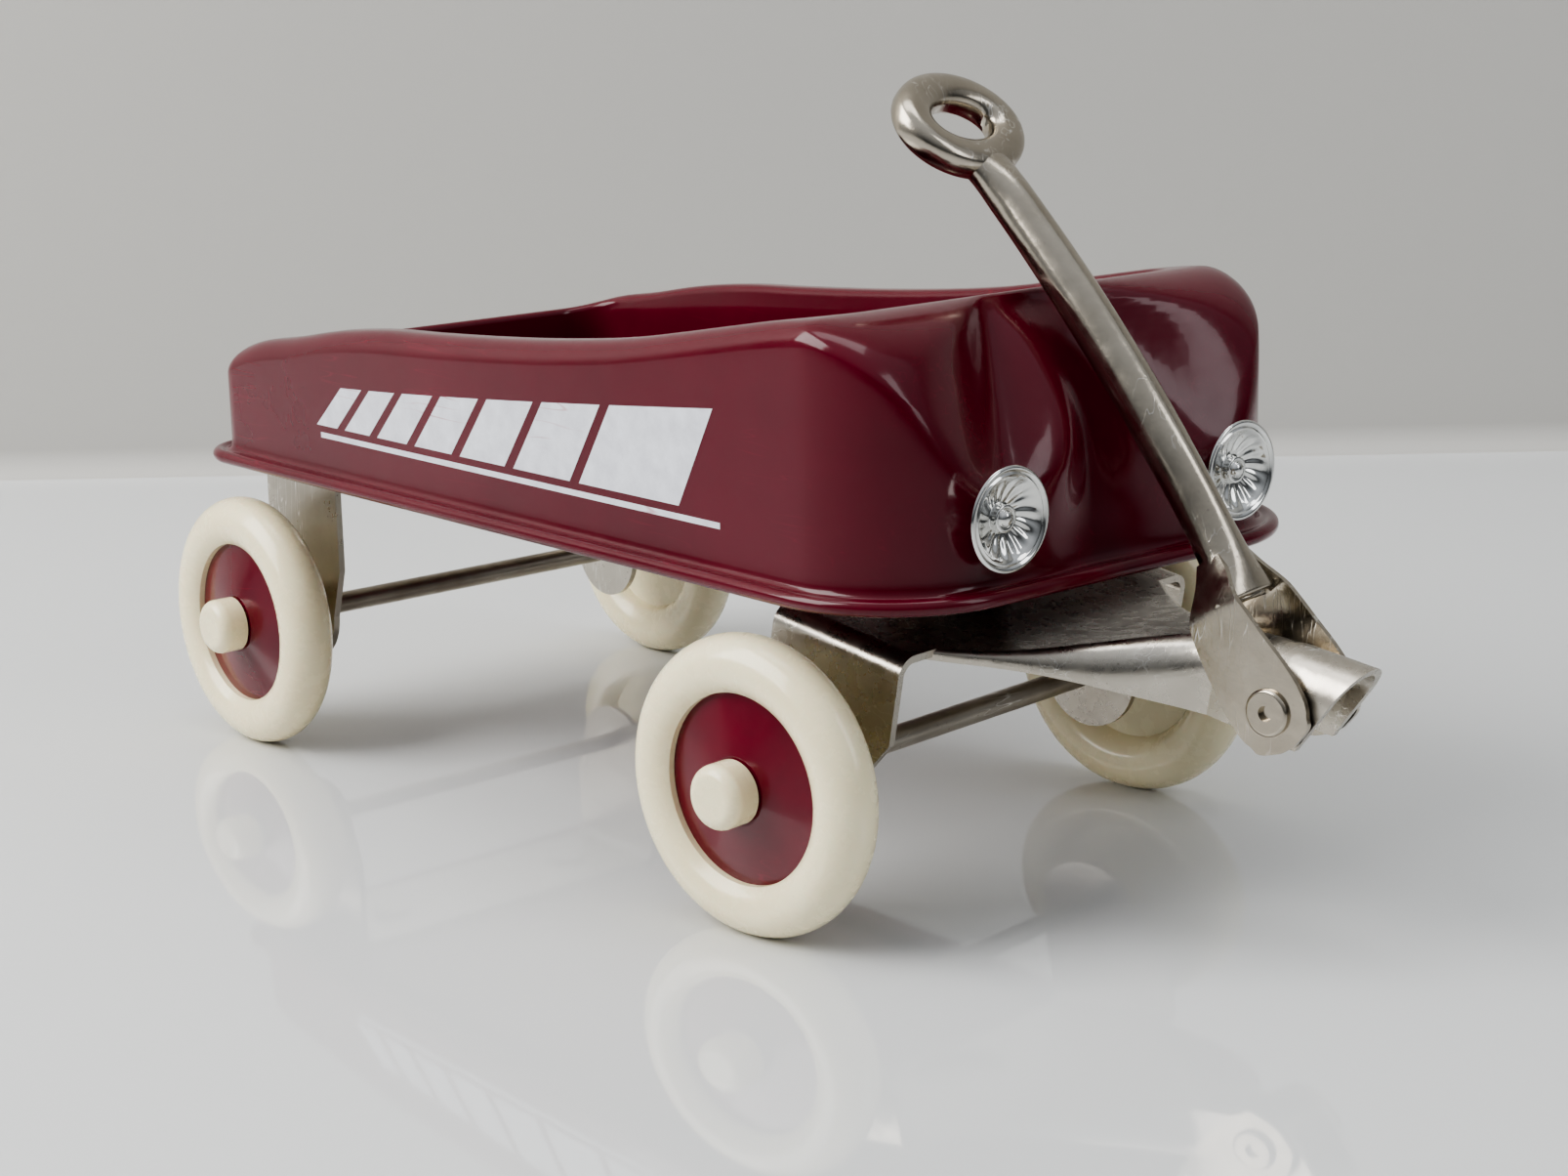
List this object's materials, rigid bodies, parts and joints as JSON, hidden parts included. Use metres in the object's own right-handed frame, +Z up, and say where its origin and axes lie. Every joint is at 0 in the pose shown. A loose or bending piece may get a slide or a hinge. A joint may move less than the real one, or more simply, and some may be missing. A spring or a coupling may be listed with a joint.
{
  "type": "wagon with pull handle",
  "caption": "Miniature pressed-steel pull-along wagon with a hooded front, headlight trims, disc wheels on U brackets, a steered front axle and a hinged pull handle with an oval grip.",
  "frame": {"origin": "centre of the bounding box, on the ground", "axes": "+X forward towards the handle, +Y left, +Z up"},
  "size_m": [0.1946, 0.0936, 0.1025],
  "materials": {
    "body_enamel": "gloss enamel",
    "disc_enamel": "gloss enamel",
    "tyre_plastic": "gloss, ivory",
    "plated_steel": "satin nickel",
    "bracket_steel": "satin nickel",
    "handle_steel": "bright nickel",
    "axle_steel": "drawn wire",
    "lamp_plating": "polished"
  },
  "bodies": {
    "bed": {"bed_shell": "body_enamel", "bed_floor": "body_enamel", "headlight_left": "lamp_plating", "headlight_right": "lamp_plating", "headlight_clip_left": "plated_steel", "headlight_clip_right": "plated_steel", "rear_bracket": "plated_steel", "rear_bracket_rivet_left": "plated_steel", "rear_bracket_rivet_right": "plated_steel", "kingpin_rivet": "plated_steel", "kingpin_clinch_washer": "plated_steel", "steering_washer": "plated_steel", "rear_axle": "axle_steel", "rear_left_hub_cap": "tyre_plastic", "rear_right_hub_cap": "tyre_plastic", "rear_left_axle_washer": "axle_steel", "rear_right_axle_washer": "axle_steel"},
    "steering": {"front_bracket": "bracket_steel", "front_axle": "axle_steel", "front_left_hub_cap": "tyre_plastic", "front_right_hub_cap": "tyre_plastic", "front_left_axle_washer": "axle_steel", "front_right_axle_washer": "axle_steel"},
    "handle": {"handle": "handle_steel", "handle_rivet": "handle_steel"},
    "front_left_wheel": {"front_left_tyre": "tyre_plastic", "front_left_wheel_disc": "disc_enamel"},
    "front_right_wheel": {"front_right_tyre": "tyre_plastic", "front_right_wheel_disc": "disc_enamel"},
    "rear_left_wheel": {"rear_left_tyre": "tyre_plastic", "rear_left_wheel_disc": "disc_enamel"},
    "rear_right_wheel": {"rear_right_tyre": "tyre_plastic", "rear_right_wheel_disc": "disc_enamel"}
  },
  "joints": [
    {"name": "steering_turn", "type": "hinge", "parent": "bed", "child": "steering", "pos_m": [0.03547, 0, 0.0405], "axis": [0, 0, 1], "range_deg": [-26, 14]},
    {"name": "handle_swing", "type": "hinge", "parent": "steering", "child": "handle", "pos_m": [0.08693, 0.00541, 0.03023], "axis": [-0.1045, 0.9945, 0], "range_deg": [0, 145]},
    {"name": "front_left_wheel_spin", "type": "hinge", "parent": "steering", "child": "front_left_wheel", "pos_m": [0.03547, 0, 0.019], "axis": [-0.1045, 0.9945, 0], "continuous": true},
    {"name": "front_right_wheel_spin", "type": "hinge", "parent": "steering", "child": "front_right_wheel", "pos_m": [0.03547, 0, 0.019], "axis": [-0.1045, 0.9945, 0], "continuous": true},
    {"name": "rear_left_wheel_spin", "type": "hinge", "parent": "bed", "child": "rear_left_wheel", "pos_m": [-0.07833, 0, 0.019], "axis": [0, 1, 0], "continuous": true},
    {"name": "rear_right_wheel_spin", "type": "hinge", "parent": "bed", "child": "rear_right_wheel", "pos_m": [-0.07833, 0, 0.019], "axis": [0, 1, 0], "continuous": true}
  ]
}
